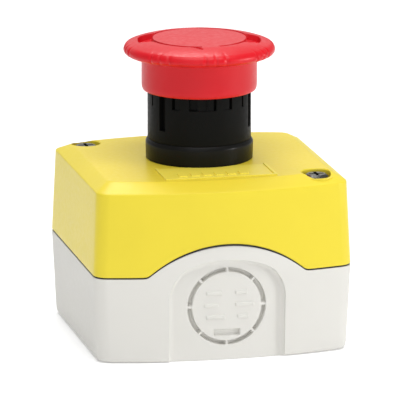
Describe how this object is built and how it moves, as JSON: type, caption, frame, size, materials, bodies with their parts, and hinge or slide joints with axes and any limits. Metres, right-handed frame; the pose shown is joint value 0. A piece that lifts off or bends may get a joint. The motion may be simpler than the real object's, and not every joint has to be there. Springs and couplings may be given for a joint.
{
  "type": "emergency stop button",
  "caption": "Square surface-mount box with a bowed front, carrying a push-to-latch, twist-to-release mushroom button over two contact blocks.",
  "frame": {"origin": "centre of the enclosure's underside, on the wall plane", "axes": "+Z out of the wall through the mushroom, -Y towards the front cable entry, +X to the right of it"},
  "size_m": [0.068, 0.0676, 0.0786],
  "materials": {
    "base_plastic": "satin moulded polycarbonate",
    "yellow_plastic": "satin moulded polycarbonate",
    "red_plastic": "semi-gloss moulded",
    "green_plastic": "moulded",
    "black_plastic": "satin moulded polyamide",
    "grey_plastic": "moulded",
    "seal_rubber": "matte",
    "steel": "zinc plated",
    "brass": "bright"
  },
  "bodies": {
    "base": {"base_shell": "base_plastic", "base_gasket": "seal_rubber", "screw_inserts": "brass", "block_carrier": "grey_plastic", "carrier_screws": "steel", "nc_housing": "black_plastic", "nc_cover": "grey_plastic", "nc_spring": "steel", "nc_terminals": "brass", "nc_clamps": "steel", "nc_screws": "steel", "no_housing": "black_plastic", "no_cover": "grey_plastic", "no_spring": "steel", "no_terminals": "brass", "no_clamps": "steel", "no_screws": "steel"},
    "lid": {"lid_shell": "yellow_plastic", "lid_screws": "steel", "legend_plate": "yellow_plastic", "head_body": "black_plastic", "bezel_ring": "black_plastic", "head_gasket": "seal_rubber", "lock_washer": "steel", "fixing_nut": "grey_plastic", "stem_seal": "seal_rubber", "latch_clip": "steel", "return_spring": "steel"},
    "stem": {"stem": "grey_plastic", "spring_seat": "grey_plastic", "actuator_disc": "grey_plastic", "twist_spring": "steel", "cap_washer": "steel", "cap_screw": "steel"},
    "cap": {"mushroom_cap": "red_plastic", "cap_disc": "red_plastic"},
    "latch_left": {"latch_pin_left": "steel"},
    "latch_right": {"latch_pin_right": "steel"},
    "nc_plunger": {"nc_plunger": "red_plastic", "nc_bridge": "brass"},
    "no_plunger": {"no_plunger": "green_plastic"},
    "no_bridge": {"no_bridge": "brass"}
  },
  "joints": [
    {"name": "lid_lift", "type": "slide", "parent": "base", "child": "lid", "axis": [0, 0, 1], "range_m": [0, 0.05]},
    {"name": "push", "type": "slide", "parent": "lid", "child": "stem", "axis": [0, 0, -1], "range_m": [0, 0.004], "stiffness_N_per_m": 2000, "springref_m": -0.003, "deforming": ["return_spring"]},
    {"name": "twist", "type": "hinge", "parent": "stem", "child": "cap", "pos_m": [0, 0, 0.076], "axis": [0, 0, -1], "range_deg": [0, 45], "stiffness_Nm_per_rad": 0.08, "springref_deg": -11.46},
    {"name": "latch_in_left", "type": "slide", "parent": "lid", "child": "latch_left", "axis": [1, 0, 0], "range_m": [0, 0.001]},
    {"name": "latch_in_right", "type": "slide", "parent": "lid", "child": "latch_right", "axis": [-1, 0, 0], "range_m": [0, 0.001]},
    {"name": "nc_press", "type": "slide", "parent": "base", "child": "nc_plunger", "axis": [0, 0, -1], "range_m": [0, 0.004], "deforming": ["nc_spring"]},
    {"name": "no_press", "type": "slide", "parent": "base", "child": "no_plunger", "axis": [0, 0, -1], "range_m": [0, 0.004], "deforming": ["no_spring"]},
    {"name": "no_close", "type": "slide", "parent": "base", "child": "no_bridge", "axis": [0, 0, -1], "range_m": [0, 0.002]}
  ],
  "couplings": [
    {"joint": "latch_in_left", "follows": "push", "ratio": 0.25},
    {"joint": "latch_in_right", "follows": "push", "ratio": 0.25},
    {"joint": "nc_press", "follows": "push", "ratio": 1},
    {"joint": "no_press", "follows": "push", "ratio": 1},
    {"joint": "no_close", "follows": "push", "ratio": 0.5}
  ]
}
